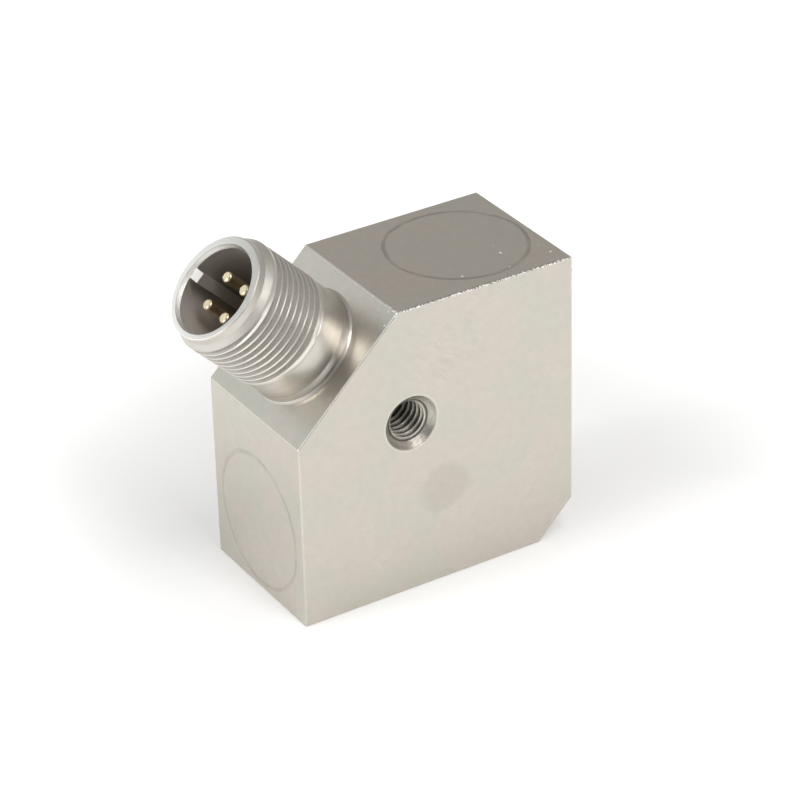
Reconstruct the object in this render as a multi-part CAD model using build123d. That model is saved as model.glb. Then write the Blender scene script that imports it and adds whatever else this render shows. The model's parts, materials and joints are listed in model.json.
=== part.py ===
from build123d import *
import math
import os

# Triaxial vibration sensor in a machined stainless steel block, in millimetres, +Z up.
# The origin is the middle of the underside. X runs along the mounting face, which looks
# towards -Y, so the sloping connector face is at the upper left of the mounting face.

# One sensing element, sized from its post outwards
POST_R = 2.6
POST_PROUD = 2.0
POST_CHAMFER = 0.4
CRYSTAL_WALL = 1.7
CRYSTAL_HEIGHT = 6.0
MASS_WALL = 2.3
MASS_OVERHANG = 0.25
SHEAR_GAP = 1.0
FLANGE_MARGIN = 0.6
FLANGE_THICKNESS = 2.0
DISC_WALL_GAP = 0.5
DISC_THICKNESS = 1.0

# Sensing pockets and their welded covers
MASS_WALL_GAP = 1.6
POST_HEADROOM = 3.5
COVER_LEDGE = 1.25
COVER_THICKNESS = 2.0
COVER_CLEARANCE = 0.05

# Housing block: metal left round the covers and between the pockets, and its corners
COVER_SIDE_MARGIN = 1.8
COVER_END_MARGIN = 0.95
REAR_COVER_MARGIN = 2.95
POCKET_SEPARATION = 3.4
CONNECTOR_CHAMFER = 15.0
CORNER_CHAMFER = 5.3
EDGE_BREAK = 0.25

# Mounting stud hole, an M6 thread drilled blind, placed from the left and top faces
STUD_FROM_LEFT = 16.7
STUD_FROM_TOP = 16.5
STUD_BORE_R = 2.65
STUD_BORE_DEPTH = 8.0
STUD_SINK_WIDTH = 1.25
DRILL_TIP_ANGLE = 118.0

# Connector shell, heights measured out from the sloping face
THREAD_R = 7.9375
THREAD_START = 5.1
THREAD_END = 14.85
LEAD_IN_LENGTH = 1.05
COLLAR_STEP = 0.16
BASE_RING_LIP = 0.2
BASE_RING_HEIGHT = 1.4
FOOT_FLARE = 0.25
NOSE_LENGTH = 1.15
NOSE_WALL = 1.25
NOSE_BEVEL = 0.17
SPIGOT_WALL = 1.1
SPIGOT_LENGTH = 2.0

# Keyed socket, bored a little off the shell's axis
SOCKET_SHIFT = -0.2
SOCKET_R = 5.95
SOCKET_DEPTH = 11.6
MOUTH_WIDTH = 0.35
MOUTH_DEPTH = 0.6
KEY_WIDTH = 1.5
KEY_DEPTH = 1.75
KEY_ROOT = 0.4

# Contacts and the insert that holds them
INSERT_LEDGE = 0.75
PIN_R = 0.8
PIN_SPACING = 4.25
PIN_RECESS = 2.1
PIN_TIP_FLAT = 0.45
TAIL_R = 0.5
TAIL_PAST_BOARD = 0.6

# Amplifier board behind the connector
BOARD_SETBACK = 2.0
BOARD_WALL_GAP = 0.4
BOARD_THICKNESS = 1.0
BOARD_BACK_ROOM = 2.0
CHIP_WIDTH = 1.5
CHIP_HEIGHT = 0.9
CHIP_OUTSET = 0.4
CHIP_TAIL_GAP = 0.4

# Signal leads and the channels drilled for them
LEAD_R = 0.35
CHANNEL_R = 1.2
SIDE_LEAD_OFFSET = 0.8
REAR_LEAD_INSET = 9.25

# Worked out from the sizes above: the element and its pocket, heights down from the cover's face
CRYSTAL_R = POST_R + CRYSTAL_WALL
MASS_R = CRYSTAL_R + MASS_WALL
POCKET_R = MASS_R + MASS_WALL_GAP
COVER_R = POCKET_R + COVER_LEDGE
POST_HEIGHT = SHEAR_GAP + CRYSTAL_HEIGHT + POST_PROUD
POCKET_DEPTH = DISC_THICKNESS + FLANGE_THICKNESS + POST_HEIGHT + POST_HEADROOM
POCKET_FLOOR = -(COVER_THICKNESS + POCKET_DEPTH)
DISC_TOP = POCKET_FLOOR + DISC_THICKNESS
FLANGE_TOP = DISC_TOP + FLANGE_THICKNESS
CRYSTAL_BASE = FLANGE_TOP + SHEAR_GAP
CRYSTAL_TOP = CRYSTAL_BASE + CRYSTAL_HEIGHT

# The block round the three pockets, square seen from the front
SIDE_POCKET_INSET = COVER_R + COVER_END_MARGIN
REAR_POCKET_INSET = COVER_R + REAR_COVER_MARGIN
BLOCK_SIDE = REAR_POCKET_INSET + POCKET_R + POCKET_SEPARATION - POCKET_FLOOR
BLOCK_DEPTH = 2 * (COVER_R + COVER_SIDE_MARGIN)
LEFT = -BLOCK_SIDE / 2
RIGHT = BLOCK_SIDE / 2
FRONT = -BLOCK_DEPTH / 2
REAR = BLOCK_DEPTH / 2

# The connector, heights out from the sloping face
COLLAR_R = THREAD_R - COLLAR_STEP
BASE_RING_R = COLLAR_R + BASE_RING_LIP
NOSE_R = SOCKET_R + NOSE_WALL
NOSE_START = THREAD_END + LEAD_IN_LENGTH
NOSE_END = NOSE_START + NOSE_LENGTH
MOUTH_START = NOSE_END - MOUTH_DEPTH
SOCKET_FLOOR = NOSE_END - SOCKET_DEPTH
INSERT_R = SOCKET_R - INSERT_LEDGE
SPIGOT_R = INSERT_R + SPIGOT_WALL
BOARD_FRONT = -(SPIGOT_LENGTH + BOARD_SETBACK)
BOARD_BACK = BOARD_FRONT - BOARD_THICKNESS
BOARD_BORE_FLOOR = BOARD_BACK - BOARD_BACK_ROOM
CHIP_LENGTH = PIN_SPACING - 2 * (TAIL_R + CHIP_TAIL_GAP)

# Local frames, each with its z axis pointing out of the face it lies on
CONNECTOR_FACE = Plane(
    origin=(LEFT + CONNECTOR_CHAMFER / 2, 0, BLOCK_SIDE - CONNECTOR_CHAMFER / 2),
    x_dir=(1, 0, 1),
    z_dir=(-1, 0, 1),
)
STUD_FACE = Plane(
    origin=(LEFT + STUD_FROM_LEFT, FRONT, BLOCK_SIDE - STUD_FROM_TOP),
    x_dir=(1, 0, 0),
    z_dir=(0, -1, 0),
)
TOP_FACE = Plane(
    origin=(RIGHT - SIDE_POCKET_INSET, 0, BLOCK_SIDE),
    x_dir=(1, 0, 0),
    z_dir=(0, 0, 1),
)
LEFT_FACE = Plane(
    origin=(LEFT, 0, SIDE_POCKET_INSET),
    x_dir=(0, 0, 1),
    z_dir=(-1, 0, 0),
)
REAR_FACE = Plane(
    origin=(RIGHT - REAR_POCKET_INSET, REAR, REAR_POCKET_INSET),
    x_dir=(1, 0, 0),
    z_dir=(0, 1, 0),
)

# Each signal lead: its start on the back of the board, its direction, the pocket it runs to
LEADS = {
    "z": ((SIDE_LEAD_OFFSET, 0), (1, 0, 0), TOP_FACE),
    "x": ((-SIDE_LEAD_OFFSET, 0), (0, 0, -1), LEFT_FACE),
    "y": ((0, REAR - REAR_LEAD_INSET), (1, 0, -1), REAR_FACE),
}


def drum(radius, low, high):
    """A solid cylinder on the local z axis between two heights."""
    return Pos(0, 0, low) * Cylinder(radius, high - low, align=(Align.CENTER, Align.CENTER, Align.MIN))


def ring(outer, inner, low, high):
    """A plain ring on the local z axis between two heights."""
    return drum(outer, low, high) - drum(inner, low, high)


def turned(*points):
    """A solid of revolution on the local z axis, from (radius, height) points."""
    return revolve(make_face(Plane.XZ * Polyline(*points, close=True)), Axis.Z)


def pin_places():
    """Where the four contacts stand on the connector face, square about the socket's axis."""
    half = PIN_SPACING / 2
    return [(SOCKET_SHIFT + x, y) for x, y in ((-half, -half), (half, -half), (half, half), (-half, half))]


def straight_run(name, radius, run_in=0.0):
    """A rod from a run-in before the back of the board to the axis of the lead's pocket."""
    place, direction, pocket = LEADS[name]
    heading = Vector(*direction).normalized()
    start = CONNECTOR_FACE.from_local_coords(Vector(*place, BOARD_BACK))
    length = (pocket.origin - start).dot(heading)
    return Plane(origin=start, z_dir=heading) * drum(radius, -run_in, length)


def pocket_cut():
    """Counterbore for the cover and the pocket under it."""
    return drum(COVER_R, -COVER_THICKNESS, 0) + drum(POCKET_R, POCKET_FLOOR, -COVER_THICKNESS)


def stud_cut():
    """Countersunk blind bore with the drill's pointed end."""
    tip = STUD_BORE_R / math.tan(math.radians(DRILL_TIP_ANGLE / 2))
    return turned(
        (0, 0),
        (STUD_BORE_R + STUD_SINK_WIDTH, 0),
        (STUD_BORE_R, -STUD_SINK_WIDTH),
        (STUD_BORE_R, -STUD_BORE_DEPTH),
        (0, -STUD_BORE_DEPTH - tip),
    )


def housing():
    """The block with its two corner chamfers, broken edges, pockets, bores and channels."""
    outline = Polyline(
        (LEFT, 0),
        (RIGHT - CORNER_CHAMFER, 0),
        (RIGHT, CORNER_CHAMFER),
        (RIGHT, BLOCK_SIDE),
        (LEFT + CONNECTOR_CHAMFER, BLOCK_SIDE),
        (LEFT, BLOCK_SIDE - CONNECTOR_CHAMFER),
        close=True,
    )
    block = extrude(make_face(Plane.XZ * outline), BLOCK_DEPTH / 2, both=True)
    block = chamfer(block.edges(), EDGE_BREAK)
    for face in (TOP_FACE, LEFT_FACE, REAR_FACE):
        block -= face * pocket_cut()
    block -= CONNECTOR_FACE * drum(SPIGOT_R, BOARD_BORE_FLOOR, 0)
    for name in LEADS:
        block -= straight_run(name, CHANNEL_R)
    block -= STUD_FACE * stud_cut()
    return block


def cover():
    """A flat round cover, flush with the face and welded round its edge."""
    return drum(COVER_R - COVER_CLEARANCE, -COVER_THICKNESS, 0)


def isolation_disc():
    """Ceramic disc that keeps the element electrically apart from the housing."""
    return drum(POCKET_R - DISC_WALL_GAP, POCKET_FLOOR, DISC_TOP)


def pedestal():
    """Flange and centre post of the element, turned in one piece."""
    flange = drum(POCKET_R - DISC_WALL_GAP - FLANGE_MARGIN, DISC_TOP, FLANGE_TOP)
    post = drum(POST_R, FLANGE_TOP, FLANGE_TOP + POST_HEIGHT)
    post = chamfer(post.edges().sort_by(Axis.Z)[-1], POST_CHAMFER)
    return flange + post


def piezo_ring():
    """Shear crystal ring, gripped on the post."""
    return ring(CRYSTAL_R, POST_R, CRYSTAL_BASE, CRYSTAL_TOP)


def seismic_mass():
    """Heavy ring round the crystal."""
    return ring(MASS_R, CRYSTAL_R, CRYSTAL_BASE - MASS_OVERHANG, CRYSTAL_TOP + MASS_OVERHANG)


def signal_lead(name):
    """Straight lead, cut flush with the back of the board and with the side of the mass."""
    pocket = LEADS[name][2]
    rod = straight_run(name, LEAD_R, run_in=2 * LEAD_R)
    board_side = CONNECTOR_FACE * drum(SPIGOT_R, BOARD_BACK, 0)
    mass_side = pocket * drum(MASS_R, POCKET_FLOOR, 0)
    return rod - board_side - mass_side


def shell_body():
    """Turned outside of the shell: spigot, flared foot, base ring, collar, thread left smooth, and nose."""
    return turned(
        (0, -SPIGOT_LENGTH),
        (SPIGOT_R, -SPIGOT_LENGTH),
        (SPIGOT_R, 0),
        (BASE_RING_R + FOOT_FLARE, 0),
        (BASE_RING_R, FOOT_FLARE),
        (BASE_RING_R, BASE_RING_HEIGHT),
        (COLLAR_R, BASE_RING_HEIGHT),
        (COLLAR_R, THREAD_START),
        (THREAD_R, THREAD_START),
        (THREAD_R, THREAD_END),
        (NOSE_R, NOSE_START),
        (NOSE_R, NOSE_END - NOSE_BEVEL),
        (NOSE_R - NOSE_BEVEL, NOSE_END),
        (0, NOSE_END),
    )


def socket_cut():
    """Bore of the socket with its flared mouth, and the narrower seat of the insert below it."""
    return turned(
        (0, -SPIGOT_LENGTH),
        (INSERT_R, -SPIGOT_LENGTH),
        (INSERT_R, SOCKET_FLOOR),
        (SOCKET_R, SOCKET_FLOOR),
        (SOCKET_R, MOUTH_START),
        (SOCKET_R + MOUTH_WIDTH, NOSE_END),
        (0, NOSE_END),
    )


def key_rib():
    """Rib along the socket, from its floor to the flared mouth, that lets a plug in one way only."""
    return Pos(0, SOCKET_R - KEY_DEPTH, SOCKET_FLOOR) * Box(
        KEY_WIDTH,
        KEY_DEPTH + KEY_ROOT,
        MOUTH_START - SOCKET_FLOOR,
        align=(Align.CENTER, Align.MIN, Align.MIN),
    )


def connector_shell():
    """Turned shell with its keyed socket."""
    socket_axis = Pos(SOCKET_SHIFT, 0, 0)
    return shell_body() - socket_axis * socket_cut() + socket_axis * key_rib()


def contact_pin(place):
    """One contact: rounded pin in the socket, and a thin tail through the board."""
    pin = drum(PIN_R, -SPIGOT_LENGTH, NOSE_END - PIN_RECESS)
    pin = fillet(pin.edges().sort_by(Axis.Z)[-1], PIN_R - PIN_TIP_FLAT)
    tail = drum(TAIL_R, BOARD_BACK - TAIL_PAST_BOARD, -SPIGOT_LENGTH)
    return Pos(*place, 0) * (pin + tail)


def contact_insert():
    """Insulating insert, bored for the four contacts."""
    insert = Pos(SOCKET_SHIFT, 0, 0) * drum(INSERT_R, -SPIGOT_LENGTH, SOCKET_FLOOR)
    for place in pin_places():
        insert -= Pos(*place, 0) * drum(PIN_R, -SPIGOT_LENGTH, SOCKET_FLOOR)
    return insert


def amplifier_board():
    """Round circuit board, carried on the contacts' tails."""
    board = drum(SPIGOT_R - BOARD_WALL_GAP, BOARD_BACK, BOARD_FRONT)
    for place in pin_places():
        board -= Pos(*place, 0) * drum(TAIL_R, BOARD_BACK, BOARD_FRONT)
    return board


def amplifier_chips():
    """One charge amplifier for each axis, on the front of the board between the tails."""
    chip = Pos(PIN_SPACING / 2 + CHIP_OUTSET, 0, BOARD_FRONT) * Box(
        CHIP_WIDTH,
        CHIP_LENGTH,
        CHIP_HEIGHT,
        align=(Align.CENTER, Align.CENTER, Align.MIN),
    )
    return Compound(children=[Pos(SOCKET_SHIFT, 0, 0) * Rot(0, 0, turn) * chip for turn in (0, 180, 270)])


def sensor_parts():
    """Every piece of the sensor by its name, in its place."""
    parts = {"housing": housing()}
    for name, face in (("top", TOP_FACE), ("left", LEFT_FACE), ("rear", REAR_FACE)):
        parts[f"{name}_cover"] = face * cover()
    parts["connector_shell"] = CONNECTOR_FACE * connector_shell()
    parts["contact_insert"] = CONNECTOR_FACE * contact_insert()
    for number, place in enumerate(pin_places(), start=1):
        parts[f"contact_pin_{number}"] = CONNECTOR_FACE * contact_pin(place)
    parts["amplifier_board"] = CONNECTOR_FACE * amplifier_board()
    parts["amplifier_chips"] = CONNECTOR_FACE * amplifier_chips()
    for axis, (_, _, pocket) in LEADS.items():
        parts[f"{axis}_isolation_disc"] = pocket * isolation_disc()
        parts[f"{axis}_pedestal"] = pocket * pedestal()
        parts[f"{axis}_piezo_ring"] = pocket * piezo_ring()
        parts[f"{axis}_seismic_mass"] = pocket * seismic_mass()
        parts[f"{axis}_signal_lead"] = signal_lead(axis)
    return parts


os.makedirs("parts", exist_ok=True)
for node, piece in sensor_parts().items():
    export_step(piece, f"parts/{node}.step")
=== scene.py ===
import json
import math

import bmesh
import bpy
from mathutils import Matrix, Vector

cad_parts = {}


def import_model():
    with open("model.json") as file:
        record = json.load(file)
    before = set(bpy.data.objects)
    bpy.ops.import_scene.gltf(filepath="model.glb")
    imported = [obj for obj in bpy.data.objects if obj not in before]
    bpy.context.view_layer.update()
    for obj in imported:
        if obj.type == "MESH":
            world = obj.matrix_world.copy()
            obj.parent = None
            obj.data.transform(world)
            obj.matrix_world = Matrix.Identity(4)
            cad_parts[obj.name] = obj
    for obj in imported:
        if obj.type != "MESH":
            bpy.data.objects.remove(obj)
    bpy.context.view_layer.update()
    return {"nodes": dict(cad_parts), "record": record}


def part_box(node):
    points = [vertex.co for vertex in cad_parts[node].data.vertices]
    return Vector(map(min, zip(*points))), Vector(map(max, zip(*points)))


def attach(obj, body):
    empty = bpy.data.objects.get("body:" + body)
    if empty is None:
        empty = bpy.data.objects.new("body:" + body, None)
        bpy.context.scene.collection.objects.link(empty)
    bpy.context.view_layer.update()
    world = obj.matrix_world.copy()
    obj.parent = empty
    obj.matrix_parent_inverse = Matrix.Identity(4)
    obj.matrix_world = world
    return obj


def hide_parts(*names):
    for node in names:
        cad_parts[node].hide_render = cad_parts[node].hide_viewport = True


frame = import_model()

# The meshes are shaped in millimetres and brought to metres when they are settled in the scene
MM = 0.001

# How far a cutting tool reaches past the surface that it cuts, how far inside the drilled hole the tap
# starts, the small eased corners at a thread's root, and how close vertices are merged
CLEAR = 1.0
OVERLAP = 0.05
ROOT_EASE_DEPTH = 0.03
ROOT_EASE_WIDTH = 0.02
MERGED = 1e-4

# Cosine of the angle within which a face still lies in a flat direction of the block
FLAT = 0.9995

# The block's own sizes that the frame's boxes do not give
CONNECTOR_CHAMFER = 15.0
CORNER_CHAMFER = 5.3
EDGE_ROUND = 0.2
POCKET_DEPTH = 15.5
BOARD_BORE_DEPTH = 7.0
CHANNEL_R = 1.2

# Covers and the ground-down weld in the mouth of each pocket
WELD_WIDTH = 0.7
WELD_DIP = 0.025
WELD_SIDE = 0.1
COVER_PLAY = 0.05
POCKET_CLEARANCE = 0.5

# Countersunk M6 stud hole, and the depth that its finish reaches
STUD_PITCH = 1.0
STUD_MAJOR_R = 3.0
STUD_MINOR_R = 2.46
STUD_SINK_R = 3.9
STUD_THREAD_DEPTH = 7.4
STUD_RELIEF = 0.1
STUD_SINK_ROUND = 0.06
STUD_MOUTH_ROUND = 0.04
STUD_REACH = 11.0
DRILL_TIP_ANGLE = 118.0

# Receptacle shell, heights measured out from the sloping face
SPIGOT_R = 6.3
SPIGOT_LENGTH = 2.0
INSERT_R = 5.2
BASE_RING_R = 7.9775
BASE_RING_HEIGHT = 1.4
STEP_SLOPE = 0.8
STEP_ROUND = 0.14
FOOT_FLARE = 0.25
FOOT_NICK = 0.05
COLLAR_R = 7.7775
COLLAR_NECK = 0.12
THREAD_R = 7.9375
THREAD_START = 5.1
THREAD_END = 14.85
NOSE_R = 7.2
NOSE_START = 15.9
NOSE_END = 17.05
NOSE_BEVEL = 0.17

# The shell's fine thread: where its groove starts and ends, as an angle from the shell's local x axis, and
# over how many degrees the tool goes in and comes out
THREAD_PITCH = 25.4 / 24
THREAD_ROOT_R = 7.29
THREAD_END_ANGLE = -80.0
THREAD_FIRST_HEIGHT = 5.3
THREAD_TURNS = 9
THREAD_RUN_IN = 45.0
CREST_ROUND = 0.055

# Keyed socket, a little off the shell's axis
SOCKET_SHIFT = -0.2
SOCKET_R = 5.95
SOCKET_FLOOR = 5.45
MOUTH_WIDTH = 0.35
MOUTH_DEPTH = 0.6
KEY_WIDTH = 1.5
KEY_DEPTH = 1.75
KEY_ROOT = 0.4
KEY_ROUND = 0.1

# Contacts
PIN_R = 0.8
PIN_SPACING = 4.25
PIN_RECESS = 2.1
PIN_ROUND = 0.34
TAIL_R = 0.5
TAIL_LENGTH = 3.6

# Camera, fitted to the block's edges in the photograph
CAMERA_AZIMUTH = -31.31
CAMERA_ELEVATION = 30.20
CAMERA_ROLL = -1.53
CAMERA_AIM = (1.15, 0.0, 21.29)
CAMERA_DISTANCE = 443.9
CAMERA_LENS = 152.55
SENSOR_WIDTH = 36.0

# Facets round a large turned piece and round the stud hole
STEPS_PER_TURN = 120
STUD_STEPS = 96

# Tones: the block's clouds, the turned shell, its socket and its rim, each with a tone of painted light
# and the way from which it falls, and dust and burrs
GREENISH_STEEL = (0.615, 0.592, 0.525)
PINKISH_STEEL = (0.64, 0.59, 0.53)
DARK_TURNED = (0.6, 0.572, 0.525)
LIGHT_TURNED = (0.73, 0.698, 0.643)
SOCKET_TONE = (0.34, 0.312, 0.28)
SOCKET_LIT_TONE = (0.62, 0.58, 0.53)
SOCKET_LIT_WAY = (-0.97, 0.26, 0)
RIM_DULL_TONE = (0.6, 0.58, 0.545)
RIM_HIGHLIGHT_TONE = (0.94, 0.92, 0.88)
RIM_HIGHLIGHT_WAY = (-0.47, 0.88, 0)
DUST_TONE = (0.85, 0.85, 0.83)
BURR_TONE = (0.97, 0.96, 0.94)

# Gilt contacts, and the inner pieces: (colour, roughness) of the plain ones and (dark, light, roughness) of
# the metal ones
GILT = (0.90, 0.76, 0.54)
GILT_ROUGHNESS = 0.25
PLAIN_FINISHES = {
    "insert_resin": ((0.22, 0.20, 0.18), 0.5),
    "board_laminate": ((0.03, 0.16, 0.07), 0.35),
    "chip_moulding": ((0.03, 0.03, 0.03), 0.5),
    "alumina": ((0.86, 0.85, 0.81), 0.5),
    "piezo_ceramic": ((0.55, 0.45, 0.33), 0.6),
    "lead_sleeve": ((0.80, 0.79, 0.75), 0.45),
}
METAL_FINISHES = {
    "element_steel": ((0.58, 0.58, 0.56), (0.63, 0.62, 0.60), 0.3),
    "heavy_alloy": ((0.28, 0.28, 0.29), (0.33, 0.33, 0.34), 0.35),
}

# Share of bare metal that burrs, the painted highlight line at the sloping face and the socket show
BURR_METAL = 0.8
HIGHLIGHT_LINE_METAL = 0.4
SOCKET_METAL = 0.4

# Roughness of each surface
BLOCK_ROUGHNESS = 0.34
WORN_ROUGHNESS = 0.2
SINK_ROUGHNESS = 0.42
SHELL_ROUGHNESS = 0.28
FLANK_ROUGHNESS = 0.4
NOSE_ROUGHNESS = 0.36
SOCKET_ROUGHNESS = 0.45

# Tints, by which a tone is multiplied: on the block, in the stud hole and on the shell. The top edge, groove,
# depth, flank and foot tints paint shade; the crest and sink rim tints paint highlights
MOTTLE_TINT = 0.84
SCRATCH_TINT = 1.07
SMEAR_TINT = 0.94
SMUDGE_TINT = 0.9
EDGE_TINT = 1.06
TOP_EDGE_SHADE_TINT = 0.6
WELD_TINTS = {"top": 0.7, "left": 0.82, "rear": 0.75}
SINK_TINT = 0.95
CHATTER_TINT = 0.8
SINK_RIM_HIGHLIGHT_TINT = 1.12
CREST_HIGHLIGHT_TINT = 1.35
GROOVE_SHADE_TINT = 0.22
DEPTH_SHADE_TINT = 0.6
CLOUDED_TINT = 0.9
FLANK_SHADE_TINT = 0.72
SHELL_CREST_HIGHLIGHT_TINT = 1.25
FOOT_SHADE_TINT = 0.72

# Heights of the surface relief, and the share of the grain that the nose shows
BLASTED_RELIEF = 0.004
MOTTLE_RELIEF = 0.02
SCRATCH_RELIEF = 0.004
BRUSHED_RELIEF = 0.02
CHATTER_RELIEF = 0.09
DENT_RELIEF = 0.15
TURNING_RELIEF = 0.012
GRAIN_RELIEF = 0.1
NOSE_GRAIN = 0.5

# Marks, as places in the block's frame: the smudge and the scratched patch on the front face, the ways in
# which the scratches are turned, in degrees, and each speck of dust with its size
SMUDGE_PLACE = (0.7, -11.25, 13.8)
SCRATCHED_PLACE = (1.0, -11.25, 33.5)
SCRATCH_TURNS = ((4, 37, 0), (0, -32, 3), (3, 70, 8), (0, 52, 5), (2, 12, 0))
DUST = (
    ((13.75, -5.1, 41.5), 0.22),
    ((6.2, -7.7, 41.5), 0.2),
    ((19.25, -8.45, 41.5), 0.18),
    ((12.6, -8.95, 41.5), 0.13),
    ((19.0, -6.0, 41.5), 0.1),
    ((14.0, -3.0, 41.5), 0.09),
    ((-5.8, -5.6, 41.4), 0.14),
    ((-7.3, -10.65, 39.9), 0.16),
    ((-6.1, -9.7, 41.1), 0.11),
)

# Studio: paper floor whose glow is weaker near the block, which paints shade round it, and fades to white,
# a plain world with brighter and darker sides as (direction, sharpness, change of tone), and softboxes as
# (place in mm, width and length in mm, watts)
FLOOR_REACH = 3000
PAPER_TONE = 0.88
GLOW_NEAR = 0.18
GLOW_FAR = 0.43
GLOW_MIDDLE = (8.0, 12.0, 0.0)
FADE_AWAY = (32.0, 70.0)
FADE_FORWARDS = (0.0, -30.0)
STUDIO_TONE = (0.5, 0.49, 0.475)
LEAST_TONE = (0.02, 0.02, 0.02)
SIDES = (
    ((-0.5, 0.74, 0.45), 4, (0.42, 0.47, 0.5)),
    ((-0.45, -0.74, 0.5), 10, (-0.36, -0.35, -0.34)),
    ((0.45, 0.6, 0.65), 8, (-0.03, -0.04, -0.04)),
)
SOFTBOXES = {
    "key": ((12, -312, 510), (160, 420), 1.2),
    "left": ((-560, 60, 240), (200, 200), 1.0),
}


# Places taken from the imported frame
def node_box(name):
    """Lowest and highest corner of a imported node, in millimetres."""
    low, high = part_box(name)
    return low / MM, high / MM


def local_frame(origin, x_dir, z_dir):
    """Matrix that carries a piece from its own frame, z outwards, to its place on the block."""
    z = Vector(z_dir).normalized()
    x = Vector(x_dir).normalized()
    y = z.cross(x)
    turn = Matrix((x, y, z)).transposed().to_4x4()
    return Matrix.Translation(Vector(origin)) @ turn


def mount(name):
    """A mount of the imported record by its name."""
    return next(item for item in frame["record"]["mounts"] if item["name"] == name)


BLOCK_LOW, BLOCK_HIGH = node_box("housing")
SIDE = BLOCK_HIGH.z - BLOCK_LOW.z
DEPTH = BLOCK_HIGH.y - BLOCK_LOW.y
TOP_LOW, TOP_HIGH = node_box("top_cover")
LEFT_LOW, LEFT_HIGH = node_box("left_cover")
REAR_LOW, REAR_HIGH = node_box("rear_cover")
COVER_R = (TOP_HIGH.x - TOP_LOW.x) / 2
COVER_THICKNESS = TOP_HIGH.z - TOP_LOW.z
DISC_LOW, DISC_HIGH = node_box("z_isolation_disc")
POCKET_R = (DISC_HIGH.x - DISC_LOW.x) / 2 + POCKET_CLEARANCE
WELD_MID_R = COVER_R + COVER_PLAY

CONNECTOR_FACE = local_frame(
    (BLOCK_LOW.x + CONNECTOR_CHAMFER / 2, 0, SIDE - CONNECTOR_CHAMFER / 2), (1, 0, 1), (-1, 0, 1)
)
STUD_PLACE = Vector(mount("stud_thread")["pos_m"]) / MM
STUD_FACE = local_frame((STUD_PLACE.x, BLOCK_LOW.y, STUD_PLACE.z), (1, 0, 0), (0, -1, 0))
TOP_MIDDLE = (TOP_LOW + TOP_HIGH) / 2
LEFT_MIDDLE = (LEFT_LOW + LEFT_HIGH) / 2
REAR_MIDDLE = (REAR_LOW + REAR_HIGH) / 2
COVER_FACES = {
    "top": local_frame((TOP_MIDDLE.x, 0, TOP_HIGH.z), (1, 0, 0), (0, 0, 1)),
    "left": local_frame((LEFT_LOW.x, 0, LEFT_MIDDLE.z), (0, 0, 1), (-1, 0, 0)),
    "rear": local_frame((REAR_MIDDLE.x, REAR_HIGH.y, REAR_MIDDLE.z), (1, 0, 0), (0, 1, 0)),
}
FLAT_WAYS = ((1, 0, 0), (0, 1, 0), (0, 0, 1), (1, 0, -1))
CHANNELS = (((1, 0, 0), "z", TOP_MIDDLE), ((0, 0, -1), "x", LEFT_MIDDLE), ((1, 0, -1), "y", REAR_MIDDLE))


# Mesh tools
def turned(points, steps=STEPS_PER_TURN, segments=3):
    """A turned solid from a closed outline of (radius, height); a third number eases that corner."""
    bm = bmesh.new()
    corners = [bm.verts.new((point[0], 0, point[1])) for point in points]
    bm.faces.new(corners)
    for size in sorted({point[2] for point in points if len(point) > 2}):
        eased = [corner for corner, point in zip(corners, points) if len(point) > 2 and point[2] == size]
        bmesh.ops.bevel(
            bm, geom=eased, offset=size, affect="VERTICES", segments=segments, profile=0.5, material=-1
        )
    bmesh.ops.delete(bm, geom=bm.faces[:], context="FACES_ONLY")
    bmesh.ops.spin(
        bm, geom=bm.verts[:] + bm.edges[:], cent=(0, 0, 0), axis=(0, 0, 1), angle=2 * math.pi,
        steps=steps, use_merge=True,
    )
    bmesh.ops.remove_doubles(bm, verts=bm.verts[:], dist=MERGED)
    bmesh.ops.recalc_face_normals(bm, faces=bm.faces[:])
    return bm


def spiral(section, pitch, start, turns, steps=STEPS_PER_TURN, run_in=0, lift=0.0):
    """A section of (radius, height) points swept up a right-handed helix and closed at both ends.

    Over the first and last steps, counted by run_in, it lies up to lift further from the axis."""
    bm = bmesh.new()
    corners = [bm.verts.new((radius, 0, start + height)) for radius, height in section]
    bm.faces.new(corners)
    count = round(steps * turns)
    bmesh.ops.spin(
        bm, geom=bm.verts[:] + bm.edges[:] + bm.faces[:], cent=(0, 0, 0), axis=(0, 0, 1),
        dvec=(0, 0, pitch / steps), angle=2 * math.pi * turns, steps=count,
    )
    bmesh.ops.recalc_face_normals(bm, faces=bm.faces[:])
    for index, corner in enumerate(bm.verts):
        step = index // len(section)
        from_end = min(step, count - step)
        if from_end < run_in:
            radius = math.hypot(corner.co.x, corner.co.y)
            grown = 1 + lift * (1 - from_end / run_in) / radius
            corner.co.x *= grown
            corner.co.y *= grown
    return bm


def drum(radius, low, high, steps=64):
    """A plain cylinder on the local z axis, used to cut with."""
    bm = bmesh.new()
    bmesh.ops.create_cone(
        bm, cap_ends=True, segments=steps, radius1=radius, radius2=radius, depth=high - low
    )
    bmesh.ops.translate(bm, vec=(0, 0, (low + high) / 2), verts=bm.verts[:])
    return bm


def as_object(bm, name, place=None):
    """A mesh object from a bmesh, carried to its place; still in millimetres."""
    if place is not None:
        bmesh.ops.transform(bm, matrix=place, verts=bm.verts[:])
    mesh = bpy.data.meshes.new(name)
    bm.to_mesh(mesh)
    bm.free()
    thing = bpy.data.objects.new(name, mesh)
    bpy.context.scene.collection.objects.link(thing)
    return thing


def apply_modifiers(thing):
    """Replaces the mesh of a piece by what its modifiers make of it."""
    depsgraph = bpy.context.evaluated_depsgraph_get()
    result = bpy.data.meshes.new_from_object(thing.evaluated_get(depsgraph))
    thing.modifiers.clear()
    spent = thing.data
    thing.data = result
    bpy.data.meshes.remove(spent)


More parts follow.
